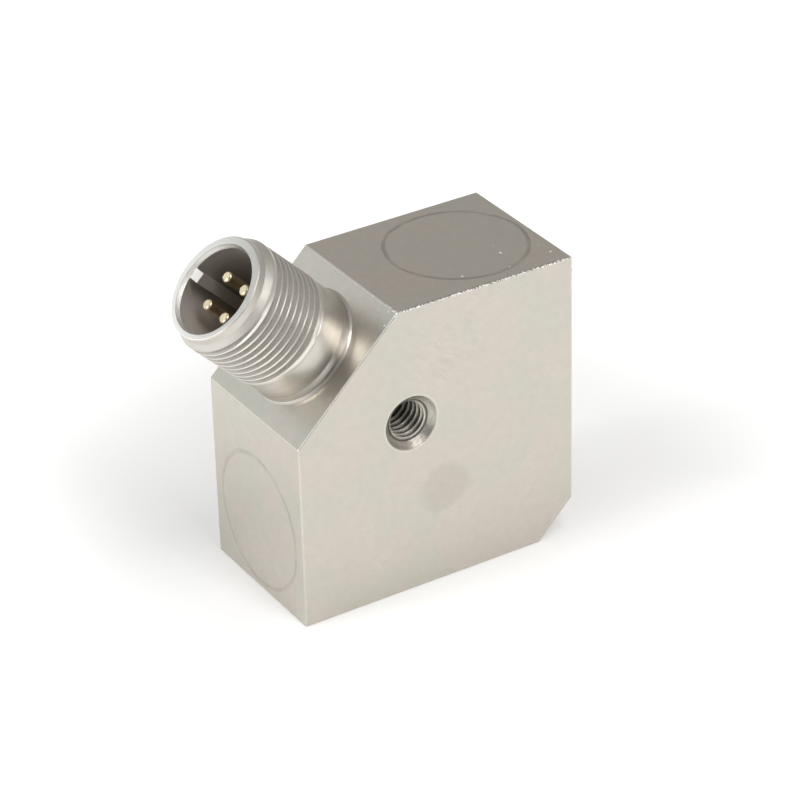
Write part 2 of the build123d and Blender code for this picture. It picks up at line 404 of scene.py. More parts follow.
def combine(target, tool, operation="DIFFERENCE"):
    """Cuts the tool out of the target, or joins it on, and removes the tool."""
    step = target.modifiers.new(operation.lower(), "BOOLEAN")
    step.operation = operation
    step.solver = "EXACT"
    step.object = tool
    apply_modifiers(target)
    spent = tool.data
    bpy.data.objects.remove(tool)
    bpy.data.meshes.remove(spent)
    return target


def settle(thing, nodes, smooth_angle=32.0):
    """Brings a finished piece to metres, shades it with flat flats, hangs it on the root body and hides the
    nodes it stands for.
    """
    mesh = thing.data
    mesh.transform(Matrix.Scale(MM, 4))
    mesh.shade_smooth()
    mesh.set_sharp_from_angle(angle=math.radians(smooth_angle))
    flats = thing.modifiers.new("flats", "WEIGHTED_NORMAL")
    flats.weight = 100
    flats.keep_sharp = True
    apply_modifiers(thing)
    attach(thing, "root")
    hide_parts(*nodes)
    return thing


# The block
def block_blank():
    """The block before drilling: a plate with two corners cut off and every edge eased."""
    bm = bmesh.new()
    bmesh.ops.create_cube(bm, size=1)
    bmesh.ops.scale(bm, vec=(SIDE, DEPTH, SIDE), verts=bm.verts[:])
    bmesh.ops.translate(bm, vec=(0, 0, SIDE / 2), verts=bm.verts[:])
    cuts = (
        ((BLOCK_LOW.x + CONNECTOR_CHAMFER, 0, SIDE), (-1, 0, 1)),
        ((BLOCK_HIGH.x - CORNER_CHAMFER, 0, 0), (1, 0, -1)),
    )
    for place, outwards in cuts:
        bmesh.ops.bisect_plane(
            bm, geom=bm.verts[:] + bm.edges[:] + bm.faces[:], plane_co=place, plane_no=outwards,
            clear_outer=True,
        )
        rim = [edge for edge in bm.edges if edge.is_boundary]
        bmesh.ops.holes_fill(bm, edges=rim)
    bmesh.ops.recalc_face_normals(bm, faces=bm.faces[:])
    bmesh.ops.bevel(
        bm, geom=bm.edges[:], offset=EDGE_ROUND, affect="EDGES", segments=3, profile=0.5, material=-1
    )
    return bm


def pocket_tool():
    """Cuts one sensing pocket with its counterbore and the mouth that the weld fills."""
    mouth = WELD_MID_R + WELD_WIDTH / 2
    seat = WELD_MID_R
    return turned(
        [
            (0, CLEAR),
            (mouth, CLEAR),
            (mouth, 0),
            (seat, -WELD_WIDTH / 2),
            (seat, -COVER_THICKNESS),
            (POCKET_R, -COVER_THICKNESS),
            (POCKET_R, -COVER_THICKNESS - POCKET_DEPTH),
            (0, -COVER_THICKNESS - POCKET_DEPTH),
        ]
    )


def stud_tool():
    """Cuts the countersink and the drilled hole."""
    depth = mount("stud_thread")["dims"]["length_mm"] + STUD_SINK_R - mount("stud_thread")["dims"]["r_mm"]
    tip = STUD_MINOR_R / math.tan(math.radians(DRILL_TIP_ANGLE / 2))
    sink = STUD_SINK_R - STUD_MAJOR_R
    return turned(
        [
            (0, CLEAR),
            (STUD_SINK_R, CLEAR),
            (STUD_SINK_R, 0, STUD_SINK_ROUND),
            (STUD_MAJOR_R, -sink, STUD_MOUTH_ROUND),
            (STUD_MINOR_R, -sink - STUD_RELIEF),
            (STUD_MINOR_R, -depth),
            (0, -depth - tip),
        ],
        steps=STUD_STEPS,
    )


def stud_thread_tool():
    """Cuts the tapped thread into the drilled hole."""
    root = STUD_PITCH / 16
    flank = (STUD_MAJOR_R - STUD_MINOR_R + OVERLAP) * math.tan(math.radians(30))
    half_section = [
        (STUD_MAJOR_R, root - ROOT_EASE_WIDTH),
        (STUD_MAJOR_R - ROOT_EASE_DEPTH, root + ROOT_EASE_WIDTH),
        (STUD_MINOR_R - OVERLAP, root + flank),
    ]
    section = [(radius, -height) for radius, height in reversed(half_section)] + half_section
    turns = STUD_THREAD_DEPTH / STUD_PITCH + 0.5
    return spiral(section, STUD_PITCH, -STUD_THREAD_DEPTH, turns, steps=STUD_STEPS)


def channel_tool(heading, name, pocket_middle):
    """Cuts the channel of one signal lead, from the board's bore to the middle of its pocket."""
    low, high = node_box(f"{name}_signal_lead")
    start = Vector()
    for axis in range(3):
        ends = {1: low[axis], -1: high[axis], 0: (low[axis] + high[axis]) / 2}
        start[axis] = ends[heading[axis]]
    length = (pocket_middle - start).dot(Vector(heading).normalized())
    bm = drum(CHANNEL_R, -CLEAR, length, steps=32)
    bmesh.ops.transform(bm, matrix=local_frame(start, (0, 1, 0), heading), verts=bm.verts[:])
    return bm


def mark_edges(mesh):
    """Marks the eased outer edges, whose faces lie in none of the block's flat directions."""
    flats = [Vector(way).normalized() for way in FLAT_WAYS]
    low = Vector((BLOCK_LOW.x, BLOCK_LOW.y, 0))
    mark = mesh.attributes.new("edge", "FLOAT", "FACE")
    for face, item in zip(mesh.polygons, mark.data):
        middle = face.center
        leans = max(abs(face.normal.dot(way)) for way in flats) < FLAT
        depths = [middle.y - low.y, BLOCK_HIGH.y - middle.y]
        depths += [middle.x - low.x, BLOCK_HIGH.x - middle.x, middle.z, SIDE - middle.z]
        depths.append(-(CONNECTOR_FACE.inverted() @ middle).z)
        depths.append((BLOCK_HIGH.x - CORNER_CHAMFER - middle.x + middle.z) * math.sqrt(0.5))
        item.value = 1.0 if leans and sum(depth < EDGE_ROUND for depth in depths) > 1 else 0.0


def block():
    """The machined block that stands for the housing."""
    body = as_object(block_blank(), "machined_block")
    for face in COVER_FACES.values():
        combine(body, as_object(pocket_tool(), "pocket_tool", face))
    combine(body, as_object(drum(SPIGOT_R, -BOARD_BORE_DEPTH, CLEAR), "bore_tool", CONNECTOR_FACE))
    for heading, name, pocket_middle in CHANNELS:
        combine(body, as_object(channel_tool(heading, name, pocket_middle), "channel_tool"))
    combine(body, as_object(stud_tool(), "stud_tool", STUD_FACE))
    combine(body, as_object(stud_thread_tool(), "stud_thread_tool", STUD_FACE))
    mark_edges(body.data)
    return settle(body, ["housing"])


# Covers
def welded_cover(name):
    """A flush cover with the ground weld that closes its seam."""
    inner = WELD_MID_R - WELD_WIDTH / 2
    outer = WELD_MID_R + WELD_WIDTH / 2
    outline = [
        (0, 0),
        (inner, 0),
        (inner + WELD_SIDE, -WELD_DIP),
        (WELD_MID_R, -WELD_DIP * 0.6),
        (outer - WELD_SIDE, -WELD_DIP),
        (outer, 0),
        (WELD_MID_R, -WELD_WIDTH / 2),
        (COVER_R, -WELD_WIDTH / 2),
        (COVER_R, -COVER_THICKNESS),
        (0, -COVER_THICKNESS),
    ]
    disc = as_object(turned(outline), f"welded_{name}_cover", COVER_FACES[name])
    return settle(disc, [f"{name}_cover"])


# Receptacle
def shell_blank():
    """The turned shell before its thread and its socket are cut."""
    outline = [
        (0, -SPIGOT_LENGTH),
        (SPIGOT_R, -SPIGOT_LENGTH),
        (SPIGOT_R, 0),
        (BASE_RING_R + FOOT_FLARE, 0),
        (BASE_RING_R, FOOT_FLARE),
        (BASE_RING_R - FOOT_NICK, FOOT_FLARE + 0.03),
        (BASE_RING_R, FOOT_FLARE + 0.1),
        (BASE_RING_R, BASE_RING_HEIGHT - STEP_SLOPE, STEP_ROUND),
        (COLLAR_R, BASE_RING_HEIGHT, STEP_ROUND),
        (COLLAR_R, THREAD_START - 0.1, 0.03),
        (COLLAR_R - COLLAR_NECK, THREAD_START - 0.06),
        (COLLAR_R - COLLAR_NECK, THREAD_START),
        (THREAD_R, THREAD_START + 0.06, 0.03),
        (THREAD_R, THREAD_END, 0.12),
        (NOSE_R, NOSE_START, 0.1),
        (NOSE_R, NOSE_END - NOSE_BEVEL, 0.04),
        (NOSE_R - NOSE_BEVEL, NOSE_END, 0.04),
        (0, NOSE_END),
    ]
    return turned(outline)


def shell_thread_tool():
    """Cuts the fine outer thread; the shoulders of its section leave a rounded crest."""
    root = THREAD_PITCH / 16
    slope = math.tan(math.radians(30))
    shoulder = root + (THREAD_R - CREST_ROUND - THREAD_ROOT_R) * slope
    half_section = [
        (THREAD_ROOT_R, root - ROOT_EASE_WIDTH),
        (THREAD_ROOT_R + ROOT_EASE_DEPTH, root + ROOT_EASE_WIDTH),
        (THREAD_R - CREST_ROUND, shoulder),
        (THREAD_R - 0.35 * CREST_ROUND, shoulder + 0.75 * CREST_ROUND),
        (THREAD_R - 0.05 * CREST_ROUND, shoulder + 1.8 * CREST_ROUND),
        (THREAD_R + 0.1, shoulder + 1.95 * CREST_ROUND),
    ]
    section = [(radius, -height) for radius, height in reversed(half_section)] + half_section
    bm = spiral(
        section, THREAD_PITCH, THREAD_FIRST_HEIGHT, THREAD_TURNS,
        run_in=round(STEPS_PER_TURN * THREAD_RUN_IN / 360), lift=THREAD_R - THREAD_ROOT_R,
    )
    turn = Matrix.Rotation(math.radians(THREAD_END_ANGLE), 3, "Z")
    bmesh.ops.rotate(bm, cent=(0, 0, 0), matrix=turn, verts=bm.verts[:])
    return bm


def socket_tool():
    """Cuts the socket with its flared mouth, and the insert's seat below it."""
    outline = [
        (0, -SPIGOT_LENGTH - CLEAR),
        (INSERT_R, -SPIGOT_LENGTH - CLEAR),
        (INSERT_R, SOCKET_FLOOR),
        (SOCKET_R, SOCKET_FLOOR),
        (SOCKET_R, NOSE_END - MOUTH_DEPTH, 0.06),
        (SOCKET_R + MOUTH_WIDTH, NOSE_END, 0.25),
        (SOCKET_R + MOUTH_WIDTH, NOSE_END + CLEAR),
        (0, NOSE_END + CLEAR),
    ]
    return turned(outline)


def key_rib():
    """The rib in the socket that lets a plug in one way only."""
    bm = bmesh.new()
    top = NOSE_END - MOUTH_DEPTH
    crest = SOCKET_R - KEY_DEPTH
    bmesh.ops.create_cube(bm, size=1)
    bmesh.ops.scale(bm, vec=(KEY_WIDTH, KEY_DEPTH + KEY_ROOT, top - SOCKET_FLOOR), verts=bm.verts[:])
    middle = (0, crest + (KEY_DEPTH + KEY_ROOT) / 2, (top + SOCKET_FLOOR) / 2)
    bmesh.ops.translate(bm, vec=middle, verts=bm.verts[:])
    eased = [
        edge for edge in bm.edges
        if all(vert.co.y < crest + 0.01 for vert in edge.verts)
        or all(vert.co.z > top - 0.01 for vert in edge.verts)
    ]
    bmesh.ops.bevel(bm, geom=eased, offset=KEY_ROUND, affect="EDGES", segments=3, profile=0.5, material=-1)
    return bm


def receptacle():
    """The threaded shell with its keyed socket."""
    aside = Matrix.Translation((SOCKET_SHIFT, 0, 0))
    shell = as_object(shell_blank(), "threaded_receptacle")
    combine(shell, as_object(shell_thread_tool(), "shell_thread_tool"))
    combine(shell, as_object(socket_tool(), "socket_tool", aside))
    combine(shell, as_object(key_rib(), "key_rib", aside), "UNION")
    shell.data.transform(CONNECTOR_FACE)
    return settle(shell, ["connector_shell"])


def contacts():
    """Four round-ended contacts on their square."""
    half = PIN_SPACING / 2
    top = NOSE_END - PIN_RECESS
    outline = [
        (0, -SPIGOT_LENGTH - TAIL_LENGTH),
        (TAIL_R, -SPIGOT_LENGTH - TAIL_LENGTH),
        (TAIL_R, -SPIGOT_LENGTH),
        (PIN_R, -SPIGOT_LENGTH),
        (PIN_R, top - 0.03, PIN_ROUND),
        (0, top),
    ]
    corners = ((-half, -half), (half, -half), (half, half), (-half, half))
    made = []
    for number, (x, y) in enumerate(corners, start=1):
        place = CONNECTOR_FACE @ Matrix.Translation((SOCKET_SHIFT + x, y, 0))
        pin = as_object(turned(outline, steps=48, segments=6), f"gilt_contact_{number}", place)
        made.append(settle(pin, [f"contact_pin_{number}"], smooth_angle=50.0))
    return made


# Materials
class Tree:
    """A node tree. Its helpers take numbers or sockets and give back a socket."""

    def __init__(self, node_tree):
        self.nodes = node_tree.nodes
        self.links = node_tree.links

    def add(self, kind, inputs, **settings):
        """A node with its settings, and its inputs set to numbers or joined to sockets."""
        node = self.nodes.new(kind)
        for key, setting in settings.items():
            setattr(node, key, setting)
        for key, item in inputs.items():
            if isinstance(item, bpy.types.NodeSocket):
                self.links.new(item, node.inputs[key])
            else:
                node.inputs[key].default_value = item
        return node

    def math(self, operation, *numbers):
        return self.add("ShaderNodeMath", dict(enumerate(numbers)), operation=operation).outputs[0]

    def vector(self, operation, inputs):
        """The vector that a vector node gives."""
        return self.add("ShaderNodeVectorMath", inputs, operation=operation).outputs[0]

    def measure(self, operation, inputs):
        """The single number that a vector node gives, such as a length."""
        return self.add("ShaderNodeVectorMath", inputs, operation=operation).outputs["Value"]

    def towards(self, vector, way):
        """How far a place lies in one direction."""
        return self.measure("DOT_PRODUCT", {0: vector, 1: way})


class Sheet(Tree):
    """The node tree of a new material. A share is a number from nought to one."""

    def __init__(self, name, roughness=0.5, metallic=0.0):
        self.material = bpy.data.materials.new(name)
        self.material.use_nodes = True
        super().__init__(self.material.node_tree)
        self.shader = self.nodes["Principled BSDF"]
        self.shader.inputs["Roughness"].default_value = roughness
        self.shader.inputs["Metallic"].default_value = metallic

    def finish(self, socket, source):
        self.links.new(source, self.shader.inputs[socket])

    def both(self, first, *others):
        """The product of several shares."""
        total = first
        for share in others:
            total = self.math("MULTIPLY", total, share)
        return total

    def between(self, share, first, last):
        """A number that goes evenly from first to last with the share."""
        return self.math("MULTIPLY_ADD", share, last - first, first)

    def fade(self, value, low, high, first=0.0, last=1.0):
        """Goes smoothly from first, at low, to last, at high."""
        if low > high:
            low, high, first, last = high, low, last, first
        settings = {"Value": value, "From Min": low, "From Max": high, "To Min": first, "To Max": last}
        return self.add("ShaderNodeMapRange", settings, interpolation_type="SMOOTHSTEP").outputs[0]

    def millimetres(self, place=None):
        """Object coordinates in millimetres, or in the frame of a piece that sits at the place."""
        where = self.add("ShaderNodeTexCoord", {}).outputs["Object"]
        moved = {"Vector": where, "Scale": (MM, MM, MM)}
        if place is not None:
            moved["Location"] = place.translation * MM
            moved["Rotation"] = place.to_euler()
        return self.add("ShaderNodeMapping", moved, vector_type="TEXTURE").outputs[0]

    def parts(self, vector):
        return self.add("ShaderNodeSeparateXYZ", {0: vector}).outputs

    def from_axis(self, vector):
        """Distance from the z axis."""
        return self.measure("LENGTH", {0: self.vector("MULTIPLY", {0: vector, 1: (1, 1, 0)})})

    def away(self, vector, point):
        """Distance from a point."""
        return self.measure("DISTANCE", {0: vector, 1: point})

    def stretched(self, vector, scale, turn=(0, 0, 0)):
        """Turned by so many degrees and then scaled, so that a small scale draws a pattern out that way."""
        turned_by = tuple(math.radians(angle) for angle in turn)
        settings = {"Vector": vector, "Scale": tuple(1 / size for size in scale), "Rotation": turned_by}
        return self.add("ShaderNodeMapping", settings, vector_type="TEXTURE").outputs[0]

    def lathed(self, vector, scale):
        """Radius, height and angle about the z axis, each scaled, so that a pattern follows the lathe."""
        across, along, height = self.parts(vector)
        angle = self.math("ARCTAN2", along, across)
        wound = self.add("ShaderNodeCombineXYZ", {0: self.from_axis(vector), 1: height, 2: angle}).outputs[0]
        return self.stretched(wound, scale)

    def noise(self, vector, scale, detail=2.0, roughness=0.5):
        settings = {"Vector": vector, "Scale": scale, "Detail": detail, "Roughness": roughness}
        return self.add("ShaderNodeTexNoise", settings).outputs["Fac"]

    def blend(self, share, first, second):
        """A colour between two, each a triple or a socket."""
        ends = [item if isinstance(item, bpy.types.NodeSocket) else (*item, 1) for item in (first, second)]
        return self.add("ShaderNodeMix", {0: share, 6: ends[0], 7: ends[1]}, data_type="RGBA").outputs[2]

    def tinted(self, colour, share, tint):
        """A colour multiplied by the tint where the share is one."""
        return self.vector("SCALE", {0: colour, "Scale": self.between(share, 1, tint)})

    def bump(self, height, distance, before=None):
        """Relief of so many millimetres, on top of the relief before it."""
        settings = {"Height": height, "Distance": distance * MM}
        if before is not None:
            settings["Normal"] = before
        return self.add("ShaderNodeBump", settings).outputs[0]


def scratches(sheet, place):
    """Sparse fine streaks in several directions, as a share."""
    total = 0.0
    for turn in SCRATCH_TURNS:
        streak = sheet.noise(sheet.stretched(place, (0.4, 1.5, 4.5), turn), 1.0, 1.0)
        total = sheet.math("MAXIMUM", sheet.fade(streak, 0.66, 0.73), total)
    return total


def blasted(sheet, place):
    """Tone and relief of the satin block: pinkish and greenish clouds, a fine mottle and light scratches."""
    clouds = sheet.fade(sheet.noise(place, 0.11, 3.0, 0.55), 0.42, 0.58)
    mottle = sheet.noise(place, 0.8, 5.0, 0.65)
    tone = sheet.tinted(sheet.blend(clouds, GREENISH_STEEL, PINKISH_STEEL), mottle, MOTTLE_TINT)

    patches = sheet.fade(sheet.noise(place, 0.13, 1.0), 0.55, 0.68)
    worn = sheet.fade(sheet.away(place, SCRATCHED_PLACE), 8.0, 3.0)
    below_top = sheet.fade(sheet.parts(place)[2], SIDE - 0.1, SIDE - 0.6)
    streaks = sheet.both(scratches(sheet, place), sheet.math("MAXIMUM", patches, worn), below_top)
    smears = sheet.noise(sheet.stretched(place, (0.3, 0.8, 1.6), (0, 37, 0)), 1.0, 3.0, 0.6)
    tone = sheet.tinted(tone, sheet.both(worn, sheet.fade(smears, 0.5, 0.65)), SMEAR_TINT)
    tone = sheet.tinted(tone, streaks, SCRATCH_TINT)

    relief = sheet.bump(sheet.noise(place, 7.0, 2.0, 0.6), BLASTED_RELIEF)
    relief = sheet.bump(mottle, MOTTLE_RELIEF, relief)
    return tone, sheet.bump(streaks, SCRATCH_RELIEF, relief)


def smudged(sheet, place, tone):
    """Darkens one soft spot of the front face."""
    ragged = sheet.math("MULTIPLY_ADD", sheet.noise(place, 0.3, 2.0), 2.4, sheet.away(place, SMUDGE_PLACE))
    return sheet.tinted(tone, sheet.fade(ragged, 5.6, 3.8), SMUDGE_TINT)


def brushed(sheet, relief):
    """Adds the brush marks of the sloping face to the relief."""
    slope = sheet.millimetres(CONNECTOR_FACE)
    on_slope = sheet.fade(sheet.parts(slope)[2], -0.25, -0.05)
    marks = sheet.noise(sheet.stretched(slope, (2.6, 0.9, 1.0), (0, 0, 12)), 1.0, 3.0, 0.6)
    return sheet.bump(sheet.both(marks, on_slope), BRUSHED_RELIEF, relief)


def tapped(sheet, tone, relief):
    """Finish of the stud hole: chattered countersink with a painted highlight on its rim, painted shade in
    the grooves and painted shade deeper in the hole.

    Gives the tone, the relief and the countersink's share."""
    hole = sheet.millimetres(STUD_FACE)
    radius = sheet.from_axis(hole)
    depth = sheet.parts(hole)[2]
    sink_end = STUD_MAJOR_R - STUD_SINK_R
    near = sheet.both(
        sheet.fade(radius, STUD_SINK_R + 0.3, STUD_SINK_R + 0.1),
        sheet.fade(depth, -STUD_REACH, 1 - STUD_REACH),
    )
    sink = sheet.both(near, sheet.fade(depth, -0.04, -0.1))
    # Painted highlight: a lighter ring at the countersink's rim
    sink_rim_highlight = sheet.both(
        near,
        sheet.fade(depth, -0.12, -0.05),
        sheet.fade(radius, STUD_SINK_R - 0.15, STUD_SINK_R - 0.08),
    )
    bored = sheet.both(near, sheet.fade(depth, sink_end + 0.03, sink_end - 0.01))
    # Painted highlight on the thread's crests; painted shade in its grooves and deeper down the hole
    crest = sheet.both(bored, sheet.fade(radius, STUD_MINOR_R + 0.2, STUD_MINOR_R + 0.06))
    groove = sheet.both(bored, sheet.fade(radius, STUD_MINOR_R + 0.1, STUD_MAJOR_R - 0.15))
    depth_shade = sheet.both(bored, sheet.fade(depth, -2.0, -5.5))

    chatter = sheet.noise(sheet.lathed(hole, (1.5, 1.5, 2.5)), 1.5, 4.0, 0.7)
    rough_sink = sheet.both(sink, sheet.fade(chatter, 0.4, 0.65))
    relief = sheet.bump(sheet.both(chatter, sheet.math("MAXIMUM", sink, bored)), CHATTER_RELIEF, relief)
    tints = (
        (sink, SINK_TINT),
        (crest, CREST_HIGHLIGHT_TINT),
        (groove, GROOVE_SHADE_TINT),
        (depth_shade, DEPTH_SHADE_TINT),
        (rough_sink, CHATTER_TINT),
        (sink_rim_highlight, SINK_RIM_HIGHLIGHT_TINT),
    )
    for share, tint in tints:
        tone = sheet.tinted(tone, share, tint)
    return tone, relief, sink


def edge_wear_and_painted_light(sheet, place, tone, relief):
    """Finish of the eased edges, lighter as worn metal and as a painted highlight, with chips along the top
    front one, a painted dark line of shade below it and a painted highlight line at the sloping face.

    Gives the tone, the relief, the share of the edges and the share of bare metal."""
    edge = sheet.add("ShaderNodeAttribute", {}, attribute_name="edge").outputs["Fac"]
    across, along, height = sheet.parts(place)
    slope_depth = sheet.parts(sheet.millimetres(CONNECTOR_FACE))[2]
    slope_end = BLOCK_LOW.x + CONNECTOR_CHAMFER
    ragged = sheet.noise(place, 2.6, 3.0, 0.7)
    front = sheet.fade(along, -10.9, -11.0)
    front_top = sheet.both(
        sheet.fade(height, SIDE - 8, SIDE - 1),
        sheet.fade(along, -8, -10),
        sheet.fade(across, slope_end - 1, slope_end),
    )
    # Painted shade: a ragged dark line just below the top front edge
    over = sheet.both(sheet.fade(height, SIDE - 0.08, SIDE - 0.03), front, sheet.fade(ragged, 0.6, 0.4))
    chips = sheet.both(edge, sheet.fade(ragged, 0.49, 0.53), front_top, sheet.math("SUBTRACT", 1, over))
    # Painted highlight: a near-white, less metallic line along the front edge of the sloping face
    highlight_line = sheet.both(edge, sheet.fade(slope_depth, -0.1, -0.06), front)

    # The eased edges are made a little lighter, partly as worn metal and partly as a painted highlight
    tone = sheet.tinted(tone, edge, EDGE_TINT)
    tone = sheet.tinted(tone, over, TOP_EDGE_SHADE_TINT)
    tone = sheet.blend(sheet.math("MAXIMUM", chips, sheet.math("MULTIPLY", highlight_line, 0.8)), tone, BURR_TONE)
    dents = sheet.both(edge, ragged, sheet.between(front_top, 0.07, 1.0))
    metal = sheet.both(sheet.between(chips, 1, BURR_METAL), sheet.between(highlight_line, 1, HIGHLIGHT_LINE_METAL))
    return tone, sheet.bump(dents, DENT_RELIEF, relief), edge, metal


def dusted(sheet, place, tone):
    """Adds white specks of dust at their places, and gives the tone and the share of bare metal."""
    clean = 1.0
    for point, size in DUST:
        clean = sheet.both(sheet.fade(sheet.away(place, point), size * 0.6, size), clean)
    return sheet.blend(clean, DUST_TONE, tone), clean


def block_finish():
    """Satin block with a smudge, brushed sloping face, worn edges with burrs, painted highlights and shade on
    the edges and in the stud hole, and specks of dust.
    """
    sheet = Sheet("block_steel", BLOCK_ROUGHNESS, 1.0)
    place = sheet.millimetres()
    tone, relief = blasted(sheet, place)
    tone = smudged(sheet, place, tone)
    relief = brushed(sheet, relief)
    tone, relief, sink = tapped(sheet, tone, relief)
    tone, relief, edge, metal = edge_wear_and_painted_light(sheet, place, tone, relief)
    tone, clean = dusted(sheet, place, tone)
    rough = sheet.between(edge, BLOCK_ROUGHNESS, WORN_ROUGHNESS)
    rough = sheet.math("MULTIPLY_ADD", sink, SINK_ROUGHNESS - BLOCK_ROUGHNESS, rough)
    sheet.finish("Base Color", tone)
    sheet.finish("Metallic", sheet.both(clean, metal))
    sheet.finish("Roughness", rough)
    sheet.finish("Normal", relief)
    return sheet.material


def cover_finish(name, face, tint):
    """Satin cover whose ground weld shows as a soft, uneven ring, darker by the tint."""
    sheet = Sheet(f"{name}_cover_steel", BLOCK_ROUGHNESS, 1.0)
    place = sheet.millimetres()
    tone, relief = blasted(sheet, place)
    radius = sheet.from_axis(sheet.millimetres(face))
    uneven = sheet.between(sheet.noise(place, 0.16, 2.0), -0.45, 0.45)
    off = sheet.math("ABSOLUTE", sheet.math("ADD", sheet.math("SUBTRACT", radius, WELD_MID_R), uneven))
    ring = sheet.fade(off, WELD_WIDTH * 0.65, WELD_WIDTH * 0.1)
    faint = sheet.fade(sheet.noise(place, 0.35, 2.0), 0.35, 0.6, 0.55, 1.0)
    tone, metal = dusted(sheet, place, sheet.tinted(tone, sheet.both(ring, faint), tint))
    sheet.finish("Base Color", tone)
    sheet.finish("Metallic", metal)
    sheet.finish("Normal", relief)
    return sheet.material


def fine_thread(sheet, place, grain, tone):
    """Finish of the shell's thread: grainy flanks darkened by painted shade and crests lightened by a painted
    highlight.

    Gives the tone and the share of the flanks."""
    height = sheet.parts(place)[2]
    radius = sheet.from_axis(place)
    threaded = sheet.both(
        sheet.fade(height, THREAD_START, THREAD_START + 0.3),
        sheet.fade(height, THREAD_END + 0.3, THREAD_END),
    )
    flank = sheet.both(threaded, sheet.fade(radius, THREAD_R - 0.03, THREAD_R - 0.12))
    crest = sheet.both(threaded, sheet.fade(radius, THREAD_R - 0.06, THREAD_R - 0.03))
    # Painted shade darkens the flanks, varied by the grain; a painted highlight lightens the crests
    tone = sheet.tinted(tone, sheet.both(flank, sheet.fade(grain, 0.3, 0.7, 1.35, 0.65)), FLANK_SHADE_TINT)
    return sheet.tinted(tone, crest, SHELL_CREST_HIGHLIGHT_TINT), flank


def rim_and_socket(sheet, place, tone):
    """Finish of the rim and the dull socket, each paler on one side as painted light: a painted highlight on
    the rim and a painted pool of light in the socket.

    Gives the tone and the share of the socket."""
    height = sheet.parts(place)[2]
    mouth = NOSE_END - MOUTH_DEPTH
    flared = sheet.both(
        sheet.fade(height, mouth - 0.16, mouth - 0.02),
        sheet.fade(sheet.from_axis(place), NOSE_R - 0.3, NOSE_R - 0.45),
    )
    rim = sheet.math("MAXIMUM", flared, sheet.fade(height, NOSE_END - 0.15, NOSE_END - 0.05))
    # Painted highlight: the rim is paler on one side
    rim_highlight_side = sheet.fade(sheet.towards(place, RIM_HIGHLIGHT_WAY), -7, 7)
    tone = sheet.blend(rim, tone, sheet.blend(rim_highlight_side, RIM_DULL_TONE, RIM_HIGHLIGHT_TONE))

    bore = sheet.millimetres(CONNECTOR_FACE @ Matrix.Translation((SOCKET_SHIFT, 0, 0)))
    inside = sheet.both(
        sheet.fade(height, mouth - 0.02, mouth - 0.16),
        sheet.fade(sheet.from_axis(bore), SOCKET_R + 0.12, SOCKET_R + 0.04),
    )
    # Painted light: the socket is paler on one side
    socket_lit_side = sheet.fade(sheet.towards(place, SOCKET_LIT_WAY), 2.5, 6.5)
    return sheet.blend(inside, tone, sheet.blend(socket_lit_side, SOCKET_TONE, SOCKET_LIT_TONE)), inside


def shell_finish():
    """Fine turned steel, with rough thread flanks, crests lightened by a painted highlight, painted shade on
    the flanks and the foot, and a dull, darker socket; the rim and the socket have painted light on one side.
    """
    sheet = Sheet("shell_steel", SHELL_ROUGHNESS, 1.0)
    place = sheet.millimetres(CONNECTOR_FACE)
    height = sheet.parts(place)[2]
    turning = sheet.noise(sheet.lathed(place, (3.0, 3.0, 0.5)), 1.0, 5.0, 0.7)
    grain = sheet.noise(place, 6.5, 3.0, 0.75)
    clouds = sheet.noise(place, 0.7, 4.0)
    tone = sheet.tinted(sheet.blend(turning, DARK_TURNED, LIGHT_TURNED), clouds, CLOUDED_TINT)
    tone, flank = fine_thread(sheet, place, grain, tone)
    # Painted shade: the foot is darker towards the block
    foot_shade = sheet.both(sheet.fade(height, 2.8, 1.2), sheet.fade(turning, 0.2, 0.7, 1.0, 0.5))
    tone = sheet.tinted(tone, foot_shade, FOOT_SHADE_TINT)
    tone, inside = rim_and_socket(sheet, place, tone)

    rough = sheet.fade(height, THREAD_END - 0.3, THREAD_END + 0.1, SHELL_ROUGHNESS, NOSE_ROUGHNESS)
    rough = sheet.math("MULTIPLY_ADD", flank, FLANK_ROUGHNESS - SHELL_ROUGHNESS, rough)
    rough = sheet.math("MULTIPLY_ADD", inside, SOCKET_ROUGHNESS - SHELL_ROUGHNESS, rough)
    on_nose = sheet.fade(height, THREAD_END, THREAD_END + 0.3, 0.0, NOSE_GRAIN)
    grainy = sheet.both(sheet.math("MAXIMUM", flank, on_nose), sheet.math("SUBTRACT", 1, inside))
    relief = sheet.bump(turning, TURNING_RELIEF)
    sheet.finish("Base Color", tone)
    sheet.finish("Metallic", sheet.between(inside, 1, SOCKET_METAL))
    sheet.finish("Roughness", rough)
    sheet.finish("Normal", sheet.bump(sheet.both(grain, grainy), GRAIN_RELIEF, relief))
    return sheet.material


def steel(name, dark, light, roughness):
    """Turned or ground steel of an inner piece, with a soft cloud of tone."""
    sheet = Sheet(name, roughness, 1.0)
    place = sheet.millimetres()
    clouds = sheet.fade(sheet.noise(place, 0.4, 3.0), 0.35, 0.65)
    sheet.finish("Base Color", sheet.blend(clouds, dark, light))
    sheet.finish("Normal", sheet.bump(sheet.noise(place, 9.0, 2.0, 0.7), 0.003))
    return sheet.material


def plain(name, colour, roughness, metallic=0.0):
    """A moulded, plated or ceramic finish with a slight mottle."""
    sheet = Sheet(name, roughness, metallic)
    mottle = sheet.fade(sheet.noise(sheet.millimetres(), 0.8, 4.0), 0.3, 0.7)
    dark = tuple(channel * 0.85 for channel in colour)
    sheet.finish("Base Color", sheet.blend(mottle, dark, colour))
    return sheet.material


def wear(thing, material):
    """Gives a piece its one material."""
    thing.data.materials.clear()
    thing.data.materials.append(material)


